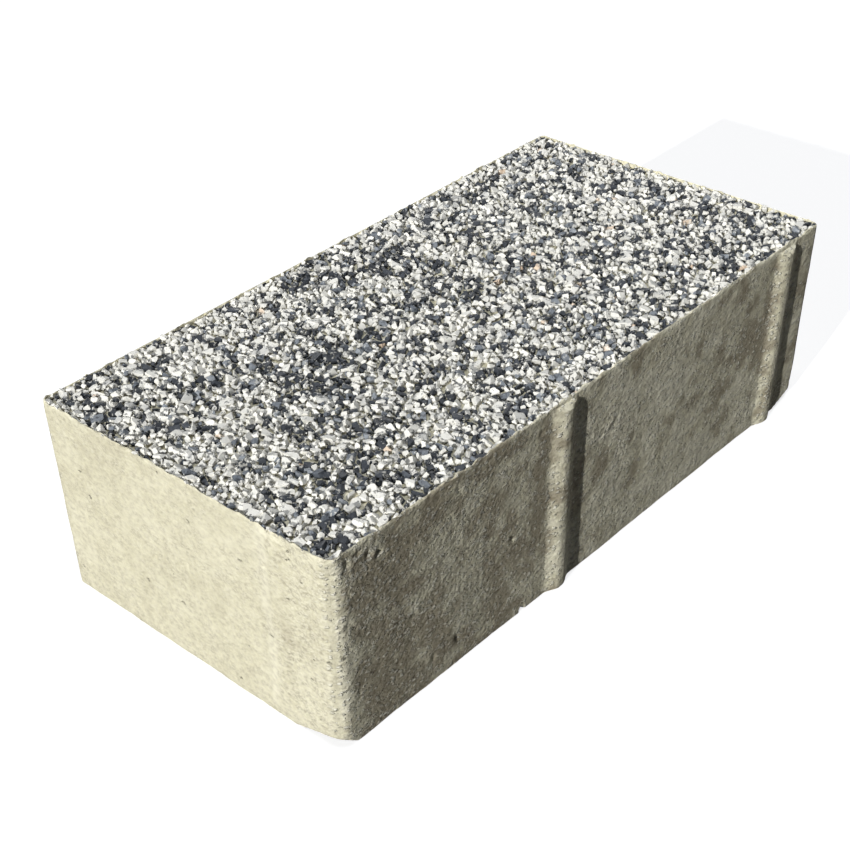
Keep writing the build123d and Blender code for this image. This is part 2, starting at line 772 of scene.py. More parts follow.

        # Tone: patchy, darker near the front of the long side, with a painted highlight by its rounded front
        # corner
        corner_highlight = smooth_step(11.0 * MM, 3.0 * MM, points[:, 0] + self.half_length)
        patches = BROAD_PATCHES.at(points) + SMALL_PATCHES.at(points)
        tone = 0.53 + patches * (0.5 + long_side * (3.2 - 1.0 * near))
        # The last term here is the painted highlight beside the front corner of the long side
        tone += long_side * (0.18 - 0.57 * near + 0.6 * corner_highlight)
        # Painted shade: the small tears, which are pushed in, are made darker
        tone -= 0.6 * self._tears(points)
        ragged = 1.0 + MARK_OUTLINE.at(points)
        scuffs = sum(mark.shade(points, ragged) for mark in self._marks())
        tone += scuffs

        # Grit: coarse on the long side, in scuffs and torn skin, and in a band beside the front corner
        speckle = smooth_step(24.0 * MM, 10.0 * MM, points[:, 1] + self.half_width) * short_side
        uneven = BROAD_GRIT.at(points) + SMALL_GRIT.at(points)
        grit = 0.22 + long_side * (0.26 + 0.2 * near) + 0.33 * speckle + 0.16 * uneven
        grit += 0.5 * self._torn(points) + 0.7 * long_side * np.maximum(scuffs, 0.0)

        # Relief and painted highlights: grains stand out on the long sides and hardly show on the short ones
        side = self.half_width
        long_sides = smooth_step(side - 4.5 * MM, side - 0.5 * MM, np.abs(points[:, 1]))
        # Where this is high, grains are also painted pale as highlights of the grazing light
        relief = 0.1 + 0.9 * long_sides
        for layer, values in ((Skin.TONE, tone), (Skin.GRIT, grit), (Skin.RELIEF_AND_GLINT, relief)):
            kept = self.obj.data.attributes.new(layer.value, "FLOAT", "POINT")
            kept.data.foreach_set("value", np.clip(values, 0.0, 1.0).astype(np.float32))

    def _wear_skin(self, points: np.ndarray, way: np.ndarray, skin: np.ndarray) -> None:
        """Move the side skin in and out: undulation, sand, drag marks, gouges, pits and worn edges.

        Args:
            points: n by 3 places, which are moved.
            way: n by 3 outward directions.
            skin: which points lie on the sides.
        """
        top = self.thickness
        height = points[:, 2]
        corner = np.exp(-((self._from_front(points) / (7.0 * MM)) ** 2))
        edge = smooth_step(top - 6.0 * MM, top, height)
        shift = UNDULATION.at(points) + LUMPS.at(points) + DRAG_MARKS.at(points)
        shift += (0.04 + 0.04 * corner) * MM * SAND.at(points)
        shift -= 0.5 * MM * np.maximum(GOUGES.at(points) - 1.0 + 0.4 * corner + 0.25 * edge, 0.0)
        shift -= 0.7 * MM * self._tears(points)
        nibble = np.maximum(NIBBLES.at(points), 0.0)
        shift -= (0.2 + 0.2 * nibble) * MM * smooth_step(top - 0.9 * MM, top, height)
        shift -= (0.05 + 0.12 * nibble) * MM * smooth_step(1.0 * MM, 0.0, height)
        ragged = 1.0 + PIT_OUTLINE.at(points)
        for pit in self._pits():
            shift -= pit.hollow(points, ragged)
        points += way * np.where(skin, shift, 0.0)[:, None]

    def _wear_rim(
        self, points: np.ndarray, way: np.ndarray, skin: np.ndarray, distance: np.ndarray
    ) -> None:
        """Make the strip of cement round the chips uneven.

        Args:
            points: n by 3 places, which are moved.
            way: n by 3 outward directions.
            skin: which points lie on the sides.
            distance: n distances from the plain sides, negative inside.
        """
        top = self.thickness
        beside = distance > -2 * self.rim_width
        rim = (points[:, 2] > top - MM / 10) & beside
        inner = ~skin & beside & (points[:, 2] > top - 2 * self.bed_depth)
        lowered = 0.4 * MM * np.maximum(RIM_DIPS.at(points) + 1.0, 0.0)
        wander = RIM_WANDER.at(points * np.array((1.0, 1.0, 0.0)))
        far = np.clip(way[:, 0] + way[:, 1], 0.0, 1.0)
        points[:, 2] -= np.where(rim, lowered * (1.0 + 0.8 * far), 0.0)
        points[:, :2] += way[:, :2] * np.where(inner, wander, 0.0)[:, None]

    def dress(self, skin: bpy.types.Material, bed: bpy.types.Material) -> None:
        """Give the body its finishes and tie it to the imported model."""
        self.obj.data.materials.clear()
        self.obj.data.materials.append(skin)
        self.obj.data.materials.append(bed)
        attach(self.obj, CAD_BODY)
        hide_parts(CAD_NODE)


@dataclass(frozen=True)
class ChipGrade:
    """One size class of crushed stone.

    Attributes:
        small: least radius of a chip.
        large: greatest radius.
        count: most chips of this class.
        shallow: least depth of a chip's top below the wearing face.
        deep: greatest depth.
        plain: whether the chips are too small to show cut facets.
    """

    small: float
    large: float
    count: int
    shallow: float
    deep: float
    plain: bool = False


@dataclass
class ChipShapes:
    """Crushed stones of about unit radius, modelled once and then copied.

    Attributes:
        cut_shapes: how many shapes with cut facets.
        plain_shapes: how many simple shapes for the finest stone.
        cuts: facets cut on each stone.
        cube: width of the cube that a stone is cut from.
        cut_reach: least and greatest distance of a facet from the middle.
        lump: radius of a simple shape.
        seed: of the facets' directions and the lumps' corners.
    """

    cut_shapes: int = 14
    plain_shapes: int = 6
    cuts: int = 6
    cube: float = 1.7
    cut_reach: tuple[float, float] = (0.5, 0.86)
    lump: float = 0.95
    seed: int = 7

    def model(self) -> tuple[list[Shape], list[Shape]]:
        """Model every stone.

        Returns:
            The stones with cut facets and the simple ones, each as vertices and triangles.
        """
        draw = np.random.default_rng(self.seed)
        cut = [self._read(self._crush(draw)) for _ in range(self.cut_shapes)]
        plain = [self._read(self._grit(i)) for i in range(self.plain_shapes)]
        return cut, plain

    def _crush(self, draw: np.random.Generator) -> bpy.types.Object:
        """A cube with facets cut off in all directions.

        Args:
            draw: where random directions come from.

        Returns:
            The stone.
        """
        stone = add_primitive(bpy.ops.mesh.primitive_cube_add, size=self.cube)
        with edit_mode(stone):
            for _ in range(self.cuts):
                way = Vector(draw.normal(size=3)).normalized()
                bpy.ops.mesh.select_all(action="SELECT")
                place = way * draw.uniform(*self.cut_reach)
                bpy.ops.mesh.bisect(plane_co=place, plane_no=way, use_fill=True, clear_outer=True)
            bpy.ops.mesh.select_all(action="SELECT")
            bpy.ops.mesh.remove_doubles(threshold=0.04)
        return stone

    def _grit(self, number: int) -> bpy.types.Object:
        """A small lump with uneven corners.

        Args:
            number: picks one lump.

        Returns:
            The lump.
        """
        lump = add_primitive(bpy.ops.mesh.primitive_ico_sphere_add, subdivisions=1, radius=self.lump)
        with edit_mode(lump):
            bpy.ops.mesh.select_all(action="SELECT")
            bpy.ops.transform.vertex_random(offset=0.28, uniform=0.6, normal=0.4, seed=self.seed + number)
        return lump

    @staticmethod
    def _read(stone: bpy.types.Object) -> Shape:
        """The vertices and triangles of a stone, which is then removed.

        Args:
            stone: a modelled stone.

        Returns:
            Vertices, n by 3, and triangles, m by 3.
        """
        with edit_mode(stone):
            bpy.ops.mesh.select_all(action="SELECT")
            bpy.ops.mesh.quads_convert_to_tris()
            bpy.ops.mesh.normals_make_consistent(inside=False)
        places = points_of(stone)
        corners = np.empty(len(stone.data.polygons) * 3, dtype=np.int64)
        stone.data.polygons.foreach_get("vertices", corners)
        mesh = stone.data
        bpy.data.objects.remove(stone)
        bpy.data.meshes.remove(mesh)
        return places - places.mean(axis=0), corners.reshape(-1, 3)


@dataclass
class ChipBed:
    """The crushed stone of the wearing face, packed side by side and pressed to one level.

    Attributes:
        body: the block that holds the stone.
        grades: size classes, the largest first.
        map_step: cell of the map that tells where there is still room.
        press: how far stones of about one size may close up on each other, 1 being side by side.
        margin: how far the bed reaches under the strip of cement.
        wall: least cement between a stone and the sides, against which the outer ones are pressed flat.
        dark_sink: how much lower the dark stones lie.
        kind_limits: draws from 0 to 1 above which a stone is cream, grey or dark, and not white.
        warm_limit: draw above which it is a warm one.
        seed: of the places, sizes and turns.
    """

    body: BlockBody
    grades: tuple[ChipGrade, ...] = (
        ChipGrade(1.15 * MM, 1.9 * MM, 1400, 0.0 * MM, 0.5 * MM),
        ChipGrade(0.75 * MM, 1.15 * MM, 2800, 0.0 * MM, 0.7 * MM),
        ChipGrade(0.45 * MM, 0.75 * MM, 5200, 0.15 * MM, 1.1 * MM),
        ChipGrade(0.3 * MM, 0.45 * MM, 3500, 0.7 * MM, 1.5 * MM, plain=True),
    )
    map_step: float = 0.12 * MM
    press: float = 0.82
    margin: float = 1.0 * MM
    wall: float = 0.1 * MM
    dark_sink: float = 0.25 * MM
    kind_limits: tuple[float, float, float] = (0.44, 0.61, 0.70)
    warm_limit: float = 0.9965
    seed: int = 29
    pieces: dict[Stone, bpy.types.Object] = field(default_factory=dict)

    def _pack(self, draw: np.random.Generator) -> tuple[np.ndarray, np.ndarray, np.ndarray]:
        """Find a place for each stone, the largest first, wherever there is still room.

        Args:
            draw: where random numbers come from.

        Returns:
            Places in the plane, n by 2, radii and each stone's size class.
        """
        half = np.array((self.body.half_length, self.body.half_width)) - self.body.rim_width
        counts = np.floor(2 * half / self.map_step).astype(int)
        xs, ys = (-half[i] + (np.arange(counts[i]) + 0.5) * self.map_step for i in (0, 1))
        flat = np.stack(np.meshgrid(xs, ys, indexing="ij"), axis=-1).reshape(-1, 2)
        away, _ = self.body.outward(np.column_stack((flat, np.zeros(len(flat)))))
        room = (-away - self.body.rim_width + self.margin).reshape(counts)
        places, radii, classes = [], [], []
        reach = 2 * self.grades[0].large
        span = int(reach / self.map_step)
        for number, grade in enumerate(self.grades):
            sizes = np.sort(draw.uniform(grade.small, grade.large, grade.count))[::-1]
            free = np.flatnonzero(room.ravel() > grade.small * self.press)
            draw.shuffle(free)
            used = 0
            for spot in free:
                if used == grade.count:
                    break
                i, j = divmod(int(spot), counts[1])
                if room[i, j] / self.press < sizes[used]:
                    continue
                radius = sizes[used]
                used += 1
                centre = np.array((xs[i], ys[j])) + draw.uniform(-0.5, 0.5, 2) * self.map_step
                places.append(centre)
                radii.append(radius)
                classes.append(number)
                near_x = slice(max(0, i - span), i + span)
                near_y = slice(max(0, j - span), j + span)
                apart = np.hypot(xs[near_x, None] - centre[0], ys[None, near_y] - centre[1])
                around = room[near_x, near_y]
                np.minimum(around, apart - radius * self.press, out=around)
            log.info("chips of class %d: %d", number, used)
        return np.array(places), np.array(radii), np.array(classes)

    def _kinds(self, draw: np.random.Generator, places: np.ndarray) -> np.ndarray:
        """What kind of stone each chip is, with paler and darker drifts over the face.

        Args:
            draw: where random numbers come from.
            places: n by 2 places.

        Returns:
            n numbers, the place of each chip's kind in Stone.
        """
        level = np.column_stack((places, np.zeros(len(places))))
        drift = CHIP_DRIFTS.at(level) + CHIP_CLUSTERS.at(level)
        drawn = draw.uniform(size=len(places))
        kinds = np.searchsorted(np.array(self.kind_limits), drawn - drift)
        kinds[drawn > self.warm_limit] = list(Stone).index(Stone.WARM)
        return kinds

    @staticmethod
    def _turns(draw: np.random.Generator, count: int) -> np.ndarray:
        """Random turns with a random flattening.

        Args:
            draw: where random numbers come from.
            count: how many.

        Returns:
            Matrices, count by 3 by 3.
        """
        q = draw.normal(size=(count, 4))
        w, x, y, z = (q / np.linalg.norm(q, axis=1, keepdims=True)).T
        turn = np.array(
            (
                (1 - 2 * (y * y + z * z), 2 * (x * y - z * w), 2 * (x * z + y * w)),
                (2 * (x * y + z * w), 1 - 2 * (x * x + z * z), 2 * (y * z - x * w)),
                (2 * (x * z - y * w), 2 * (y * z + x * w), 1 - 2 * (x * x + y * y)),
            )
        ).transpose(2, 0, 1)
        stretch = np.column_stack(
            (draw.uniform(1.0, 1.3, count), draw.uniform(0.85, 1.1, count), draw.uniform(0.65, 0.95, count))
        )
        return turn * stretch[:, None, :]

    def build(self) -> dict[Stone, bpy.types.Object]:
        """Model the stones, place them all and join each kind into one piece.

        Returns:
            The pieces.
        """
        draw = np.random.default_rng(self.seed)
        cut, plain = ChipShapes().model()
        places, radii, classes = self._pack(draw)
        kinds = self._kinds(draw, places)
        turns = self._turns(draw, len(places))
        depths = np.array([draw.uniform(self.grades[c].shallow, self.grades[c].deep) for c in classes])
        depths[kinds == list(Stone).index(Stone.DARK)] += self.dark_sink
        tones = draw.uniform(size=len(places))
        shapes = draw.integers(0, 10**6, len(places))
        for number, stone in enumerate(Stone):
            parts, faces, tone_parts, start = [], [], [], 0
            for chip in np.flatnonzero(kinds == number):
                choice = plain if self.grades[classes[chip]].plain else cut
                shape, corners = choice[shapes[chip] % len(choice)]
                solid = shape @ turns[chip].T * radii[chip]
                solid[:, :2] += places[chip]
                solid[:, 2] += self.body.thickness - depths[chip] - solid[:, 2].max()
                parts.append(solid)
                faces.append(corners + start)
                tone_parts.append(np.full(len(solid), tones[chip]))
                start += len(solid)
            self.pieces[stone] = self._joined(
                stone.value, np.concatenate(parts), np.concatenate(faces), np.concatenate(tone_parts)
            )
        return self.pieces

    def _joined(
        self, name: str, points: np.ndarray, faces: np.ndarray, tones: np.ndarray
    ) -> bpy.types.Object:
        """One object from arrays, kept clear of the sides and of the worn front edge.

        Args:
            name: of the piece.
            points: n by 3 places.
            faces: m by 3 corners.
            tones: n values from 0 to 1, alike over each stone.

        Returns:
            The piece.
        """
        mesh = bpy.data.meshes.new(name)
        distance, way = self.body.outward(points)
        sunk = smooth_step(self.body.thickness - 0.5 * MM, self.body.thickness - 1.3 * MM, points[:, 2])
        cover = self.wall * (1.0 + 4.0 * sunk)
        pressed = points - way * np.maximum(distance + cover, 0.0)[:, None]
        self.body.blunt_front(pressed, -cover)
        held = np.clip(pressed, np.array(self.body.low), np.array(self.body.high))
        mesh.from_pydata(held, [], faces)
        tone = mesh.attributes.new(CHIP_TONE, "FLOAT", "POINT")
        tone.data.foreach_set("value", tones.astype(np.float32))
        return link_new(name, mesh)

    def dress(self, materials: dict[Stone, bpy.types.Material]) -> None:
        """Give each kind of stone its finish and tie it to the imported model."""
        for stone, piece in self.pieces.items():
            piece.data.materials.append(materials[stone])
            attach(piece, CAD_BODY)


class NodeBench:
    """Adds and links the nodes of one material, world or node group."""

    def __init__(self, tree: bpy.types.NodeTree) -> None:
        """Start on an empty tree."""
        self.tree = tree
        tree.nodes.clear()

    def add(self, kind: str, settings: dict[str, object] | None = None, **inputs: object) -> bpy.types.Node:
        """Add a node.

        Args:
            kind: the node's type name.
            settings: properties of the node.
            **inputs: a value or an output socket for each input, with _ for a space in its name.

        Returns:
            The node.
        """
        node = self.tree.nodes.new(kind)
        for name, value in (settings or {}).items():
            setattr(node, name, value)
        for name, value in inputs.items():
            self.feed(node, name.replace("_", " "), value)
        return node

    def feed(self, node: bpy.types.Node, name: str | int, value: object) -> None:
        """Set or link one input of a node."""
        socket = node.inputs[name]
        if isinstance(value, bpy.types.NodeSocket):
            self.tree.links.new(value, socket)
        elif isinstance(value, tuple) and socket.type == "RGBA":
            socket.default_value = (*value, 1.0)
        else:
            socket.default_value = value

    def maths(self, operation: str, a: object, b: object = 0.0, clamp: bool = False) -> bpy.types.NodeSocket:
        """The result of a sum on two values or sockets."""
        node = self.tree.nodes.new("ShaderNodeMath")
        node.operation = operation
        node.use_clamp = clamp
        self.feed(node, 0, a)
        self.feed(node, 1, b)
        return node.outputs[0]

    def mix(self, share: object, a: object, b: object, blend: str = "MIX") -> bpy.types.NodeSocket:
        """Colour a with colour b over it, as strong as share."""
        node = self.tree.nodes.new("ShaderNodeMix")
        node.data_type = "RGBA"
        node.blend_type = blend
        self.feed(node, 0, share)
        self.feed(node, 6, a)
        self.feed(node, 7, b)
        return node.outputs[2]

    def line(self, start: object, value: object, factor: object) -> bpy.types.NodeSocket:
        """The start plus a value times a factor."""
        return self.maths("ADD", start, self.maths("MULTIPLY", value, factor))

    def places(self) -> bpy.types.NodeSocket:
        """Object coordinates."""
        return self.add("ShaderNodeTexCoord").outputs["Object"]

    def attribute(self, name: str) -> bpy.types.NodeSocket:
        """What a mesh keeps under a name."""
        return self.add("ShaderNodeAttribute", {"attribute_name": name}).outputs["Fac"]

    def ramp(self, value: object, low: float, high: float, soft: bool = True) -> bpy.types.NodeSocket:
        """0 at low and before it, 1 at high and past it, and a soft or straight slope between them."""
        node = self.add("ShaderNodeMapRange", {"interpolation_type": "SMOOTHSTEP" if soft else "LINEAR"})
        self.feed(node, "Value", value)
        self.feed(node, "From Min", low)
        self.feed(node, "From Max", high)
        return node.outputs[0]

    def noise(self, place: object, size: float, detail: float, rough: float) -> bpy.types.NodeSocket:
        """Noise from 0 to 1 with lumps of about one size."""
        node = self.add("ShaderNodeTexNoise", None, Scale=1.0 / size, Detail=detail, Roughness=rough)
        self.feed(node, "Vector", place)
        return node.outputs[0]

    def surface(self, colour: object, rough: object, height: object, depth: float, gloss: float) -> None:
        """End a material in a surface with fine relief.

        Args:
            colour: its colour.
            rough: its roughness.
            height: its relief, from 0 to about 1.
            depth: how high the relief stands where it is 1.
            gloss: its specular level.
        """
        bump = self.add("ShaderNodeBump", None, Strength=1.0, Distance=depth, Height=height)
        shader = self.add("ShaderNodeBsdfPrincipled", None, Base_Color=colour, Roughness=rough)
        self.feed(shader, "Normal", bump.outputs[0])
        self.feed(shader, "Specular IOR Level", gloss)
        self.add("ShaderNodeOutputMaterial", None, Surface=shader.outputs[0])


def new_material(name: str) -> tuple[bpy.types.Material, NodeBench]:
    """Start a material.

    Args:
        name: of the material.

    Returns:
        The material, with no nodes yet, and the bench for its nodes.
    """
    material = bpy.data.materials.new(name)
    material.use_nodes = True
    return material, NodeBench(material.node_tree)


class SharedEffects:
    """Node groups that more than one finish uses."""

    def __init__(self) -> None:
        """Build each group once."""
        self.grain = self._make_grain()
        self.cloud = self._make_cloud()

    @staticmethod
    def _start(name: str, *outputs: str) -> tuple[NodeBench, dict[str, bpy.types.NodeSocket]]:
        """Start a group that is given places and a size in metres.

        Args:
            name: of the group.
            *outputs: names of the values that it puts out.

        Returns:
            The bench for its nodes, and the places and scale that its textures read.
        """
        tree = bpy.data.node_groups.new(name, "ShaderNodeTree")
        for socket, kind in (("Vector", "NodeSocketVector"), ("Size", "NodeSocketFloat")):
            tree.interface.new_socket(socket, in_out="INPUT", socket_type=kind)
        for socket in outputs:
            tree.interface.new_socket(socket, in_out="OUTPUT", socket_type="NodeSocketFloat")
        bench = NodeBench(tree)
        given = bench.add("NodeGroupInput").outputs
        return bench, {"Vector": given["Vector"], "Scale": bench.maths("DIVIDE", 1.0, given["Size"])}

    def _make_grain(self) -> bpy.types.NodeTree:
        """Fine grain: a mask from 0 to 1 and a height.

        Returns:
            The group.
        """
        bench, read = self._start("fine_grain", "Mask", "Height")
        soft = bench.add("ShaderNodeTexNoise", None, **read, Detail=3.0).outputs[0]
        cells = bench.add("ShaderNodeTexVoronoi", None, **read).outputs["Distance"]
        half_grains = bench.maths("MULTIPLY", bench.maths("SUBTRACT", 1.0, cells), 0.5)
        height = bench.line(half_grains, soft, 0.5)
        bench.add("NodeGroupOutput", None, Mask=bench.ramp(soft, 0.38, 0.62), Height=height)
        return bench.tree

    def _make_cloud(self) -> bpy.types.NodeTree:
        """Cloudy tone: a soft mask from 0 to 1.

        Returns:
            The group.
        """
        bench, read = self._start("cloudy_tone", "Mask")
        patches = bench.add("ShaderNodeTexNoise", None, **read, Detail=4.0, Roughness=0.6).outputs[0]
        bench.add("NodeGroupOutput", None, Mask=bench.ramp(patches, 0.32, 0.68))
        return bench.tree

    @staticmethod
    def place(bench: NodeBench, tree: bpy.types.NodeTree, vector: object, size: float) -> bpy.types.Node:
        """Put a group into a finish.

        Args:
            bench: the finish's nodes.
            tree: the group.
            vector: the places that it reads.
            size: of its grains or patches.

        Returns:
            The group's node.
        """
        return bench.add("ShaderNodeGroup", {"node_tree": tree}, Vector=vector, Size=size)


@dataclass(frozen=True)
class ConcreteFinish:
    """Pressed concrete: cement paste with patches, sand, dust, bare grains, pores and a matt skin.

    Attributes:
        paste: main colour.
        pale: colour of the palest patches, of the dust, and of the painted highlight by the front corner.
        dull: colour of the sand.
        stain_and_shade: tint of the darkest patches, over all but the bare grains, and of the tears' painted
            shade.
        grain: colour of the bare grains, and of painted highlights on grains of the long sides.
        pore_shade: painted shade inside the pores.
        pattern: how the pattern's places are scaled, so that it is drawn out level.
        sand_size: of the sand.
        dust_size: of the dust.
        depth: how high the fine relief stands.
        gloss: its specular level.
    """

    paste: Colour = (0.69, 0.65, 0.465)
    pale: Colour = (0.90, 0.86, 0.67)
    dull: Colour = (0.35, 0.31, 0.222)
    stain_and_shade: Colour = (0.60, 0.565, 0.545)
    grain: Colour = (0.93, 0.90, 0.76)
    pore_shade: Colour = (0.16, 0.135, 0.095)
    pattern: Point = (0.65, 0.65, 1.0)
    sand_size: float = 1.1 * MM
    dust_size: float = 0.55 * MM
    depth: float = 0.42 * MM
    gloss: float = 0.25

    def make(self, effects: SharedEffects) -> bpy.types.Material:
        """Build the material.

        Args:
            effects: the shared node groups.

        Returns:
            The material.
        """
        material, bench = new_material("pressed_concrete")
        drawn_out = bench.add("ShaderNodeVectorMath", {"operation": "MULTIPLY"})
        bench.feed(drawn_out, 0, bench.places())
        bench.feed(drawn_out, 1, self.pattern)
        place = drawn_out.outputs[0]
        tone, grit, relief = (bench.attribute(layer.value) for layer in Skin)
        sand = effects.place(bench, effects.grain, place, self.sand_size).outputs
        dust = effects.place(bench, effects.grain, place, self.dust_size).outputs
        fine_grains = self._spots(bench, place, 1.0 * MM, 0.5, bench.maths("MULTIPLY", grit, 0.85))
        coarse_grains = self._spots(bench, place, 1.7 * MM, 0.34, bench.maths("MULTIPLY", grit, 0.4))
        pore_share = bench.maths("MULTIPLY", bench.maths("POWER", grit, 2.0), 0.3)
        pores = self._spots(bench, place, 1.9 * MM, 0.26, pore_share)

        # Colour, from the paste outwards
        sandy = bench.maths("MULTIPLY", sand["Mask"], bench.line(0.27, grit, 0.62))
        dusty = bench.maths("MULTIPLY", dust["Mask"], bench.line(0.35, grit, 0.55))
        bare = bench.maths("MAXIMUM", fine_grains, coarse_grains)
        colour = bench.mix(bench.ramp(tone, 0.5, 1.0, soft=False), self.paste, self.pale)
        colour = bench.mix(sandy, colour, self.dull)
        colour = bench.mix(dusty, colour, self.pale)
        # Painted shade: the pores are darkened
        colour = bench.mix(bench.maths("MULTIPLY", pores, 0.5), colour, self.pore_shade)
        # Darker tones take the stain tint: real stains, and the painted shade of the small tears
        colour = bench.mix(bench.ramp(tone, 0.5, 0.0, soft=False), colour, self.stain_and_shade, "MULTIPLY")
        # Bare grains painted pale: a little on every side, far more on the long sides as painted highlights
        colour = bench.mix(bench.maths("MULTIPLY", bare, bench.line(0.1, relief, 0.75)), colour, self.grain)

        # Relief: sand and dust, grains that stand out, and pores
        height = bench.line(sand["Height"], dust["Height"], 0.6)
        height = bench.maths("MULTIPLY", height, bench.line(0.2, grit, 0.75))
        height = bench.line(height, bench.line(fine_grains, coarse_grains, 1.3), relief)
        height = bench.maths("SUBTRACT", height, pores)
        bench.surface(colour, bench.line(0.8, sand["Mask"], 0.15), height, self.depth, self.gloss)
        return material

    @staticmethod
    def _spots(
        bench: NodeBench, place: object, size: float, reach: float, share: object
    ) -> bpy.types.NodeSocket:
        """Scattered spots with ragged outlines.

        Args:
            bench: the finish's nodes.
            place: the places that it reads.
            size: of the cells, each of which can hold one spot.
            reach: radius of a spot, in cells.
            share: how many of the cells hold one, from 0 to 1.

        Returns:
            A mask.
        """
        wobble = bench.add("ShaderNodeTexNoise", None, Vector=place, Scale=2.5 / size, Detail=2.0)
        ragged = bench.add("ShaderNodeVectorMath", {"operation": "MULTIPLY_ADD"})
        for number, value in enumerate((wobble.outputs["Color"], (size, size, size), place)):
            bench.feed(ragged, number, value)
        cells = bench.add("ShaderNodeTexVoronoi", None, Vector=ragged.outputs[0], Scale=1.0 / size)
        spot = bench.ramp(cells.outputs["Distance"], reach, reach / 2)
        draw = bench.add("ShaderNodeSeparateColor", None, Color=cells.outputs["Color"]).outputs[0]
        return bench.maths("MULTIPLY", spot, bench.maths("LESS_THAN", draw, share))


@dataclass(frozen=True)
class BedCementAndShade:
    """Cement in the gaps between the chips: dull, rough, and darkened to blue-grey and near black as painted
    shade.

    Attributes:
        paste: main colour, blue-grey and darkened as painted shade.
        stain_and_shade: colour of the darker clouds, near black, also painted shade.
        depth: how high the fine relief stands.
        gloss: its specular level.
    """

    paste: Colour = (0.12, 0.13, 0.145)
    stain_and_shade: Colour = (0.045, 0.05, 0.057)
    depth: float = 0.15 * MM
    gloss: float = 0.5

    def make(self, effects: SharedEffects) -> bpy.types.Material:
        """Build the material.

        Args:
            effects: the shared node groups.

        Returns:
            The material.
        """
        material, bench = new_material("bed_cement_and_shade")
        place = bench.places()
        clouds = effects.place(bench, effects.cloud, place, 3.0 * MM).outputs["Mask"]
        grain = effects.place(bench, effects.grain, place, 0.5 * MM).outputs
        # Painted shade: the gap cement is made blue-grey and near black
        colour = bench.mix(clouds, self.paste, self.stain_and_shade)
        colour = bench.mix(bench.maths("MULTIPLY", grain["Mask"], 0.3), colour, self.stain_and_shade)
        bench.surface(colour, bench.line(0.8, clouds, 0.15), grain["Height"], self.depth, self.gloss)
        return material


@dataclass(frozen=True)
class StoneFinish:
    """Crushed stone: chips with tones of their own and cloudy veins, lime and grime across them, and painted
    shade deep down.

    Attributes:
        stone: the kind of stone.
        dark: colour of the darkest chips.
        light: colour of the lightest chips.
        vein: colour of the veins.
        shine: roughness of a fresh facet.
        lime: colour of the pale lime coat.
        dirt_and_shade: colour of the dark grime patches, and painted shade on what lies deep between the
            chips.
        depth: how high the fine relief stands.
        gloss: its specular level.
    """

    stone: Stone
    dark: Colour
    light: Colour
    vein: Colour
    shine: float
    lime: Colour = (0.80, 0.78, 0.70)
    dirt_and_shade: Colour = (0.035, 0.04, 0.048)
    depth: float = 0.1 * MM
    gloss: float = 0.4

    def make(self, effects: SharedEffects, body: BlockBody) -> bpy.types.Material:
        """Build the material.

        Args:
            effects: the shared node groups.
            body: the block that holds the stone.

        Returns:
            The material.
        """
        material, bench = new_material(f"{self.stone.value}_stone")
        place = bench.places()
        veins = effects.place(bench, effects.cloud, place, 1.1 * MM).outputs["Mask"]
        grain = effects.place(bench, effects.grain, place, 0.45 * MM).outputs
        patches = bench.noise(place, 1.5 * MM, 4.0, 0.6)
        limy = bench.maths("MULTIPLY", bench.ramp(patches, 0.44, 0.38), 0.7)
        dirty = bench.maths("MULTIPLY", bench.ramp(patches, 0.56, 0.64), 0.75)
        height = bench.add("ShaderNodeSeparateXYZ", None, Vector=place).outputs["Z"]
        # Painted shade: chips are darkened more the deeper they lie below the wearing face
        sunk = bench.ramp(height, body.thickness - 0.5 * MM, body.thickness - body.bed_depth)
        dirt_and_depth_shade = bench.maths("ADD", dirty, bench.maths("MULTIPLY", sunk, 0.4), clamp=True)
        colour = bench.mix(bench.attribute(CHIP_TONE), self.dark, self.light)
        colour = bench.mix(bench.maths("MULTIPLY", veins, 0.35), colour, self.vein)
        colour = bench.mix(limy, colour, self.lime)
        colour = bench.mix(dirt_and_depth_shade, colour, self.dirt_and_shade)
        rough = bench.line(self.shine, grain["Mask"], 0.2)
        bench.surface(colour, rough, grain["Height"], self.depth, self.gloss)
        return material


STONE_FINISHES = (
    StoneFinish(Stone.WHITE, (0.86, 0.84, 0.76), (0.94, 0.92, 0.84), (0.76, 0.75, 0.70), 0.6),
    StoneFinish(Stone.CREAM, (0.66, 0.65, 0.60), (0.86, 0.84, 0.76), (0.52, 0.53, 0.52), 0.6),
    StoneFinish(Stone.GREY, (0.10, 0.115, 0.135), (0.30, 0.325, 0.35), (0.10, 0.11, 0.125), 0.55),
    StoneFinish(Stone.DARK, (0.006, 0.008, 0.011), (0.032, 0.038, 0.048), (0.03, 0.036, 0.045), 0.5),
    StoneFinish(Stone.WARM, (0.60, 0.45, 0.31), (0.84, 0.71, 0.57), (0.56, 0.44, 0.34), 0.55),
)


@dataclass(frozen=True)
class PhotoCamera:
    """The camera, at the photograph's angle.

    Attributes:
        eye: where it stands.
        aim: what the lens points at.
        roll: how far it is tilted sideways, in degrees.
        lens: focal length in millimetres.
        sensor: width of the picture behind the lens, in millimetres.
        shift: how far the picture's middle lies off the lens axis, in picture widths to the right and up.
    """

    eye: Point = (-271.67 * MM, -230.48 * MM, 259.85 * MM)
    aim: Point = (-82.29 * MM, -43.43 * MM, 30.0 * MM)
    roll: float = 2.783
    lens: float = 61.65
    sensor: float = 36.0
    shift: tuple[float, float] = (0.0602, 0.2092)

    def build(self) -> bpy.types.Object:
        """Make the camera and use it.

        Returns:
            The camera.
        """
        data = bpy.data.cameras.new("photo_camera")
        data.lens = self.lens
        data.sensor_width = self.sensor
        data.shift_x, data.shift_y = self.shift
        data.clip_start = 0.01
        camera = link_new("photo_camera", data)
        ahead = Vector(self.aim) - Vector(self.eye)
        camera.location = self.eye
        camera.rotation_mode = "QUATERNION"
        tilt = Quaternion((0.0, 0.0, 1.0), math.radians(-self.roll))
        camera.rotation_quaternion = ahead.to_track_quat("-Z", "Y") @ tilt
        bpy.context.scene.camera = camera
        return camera


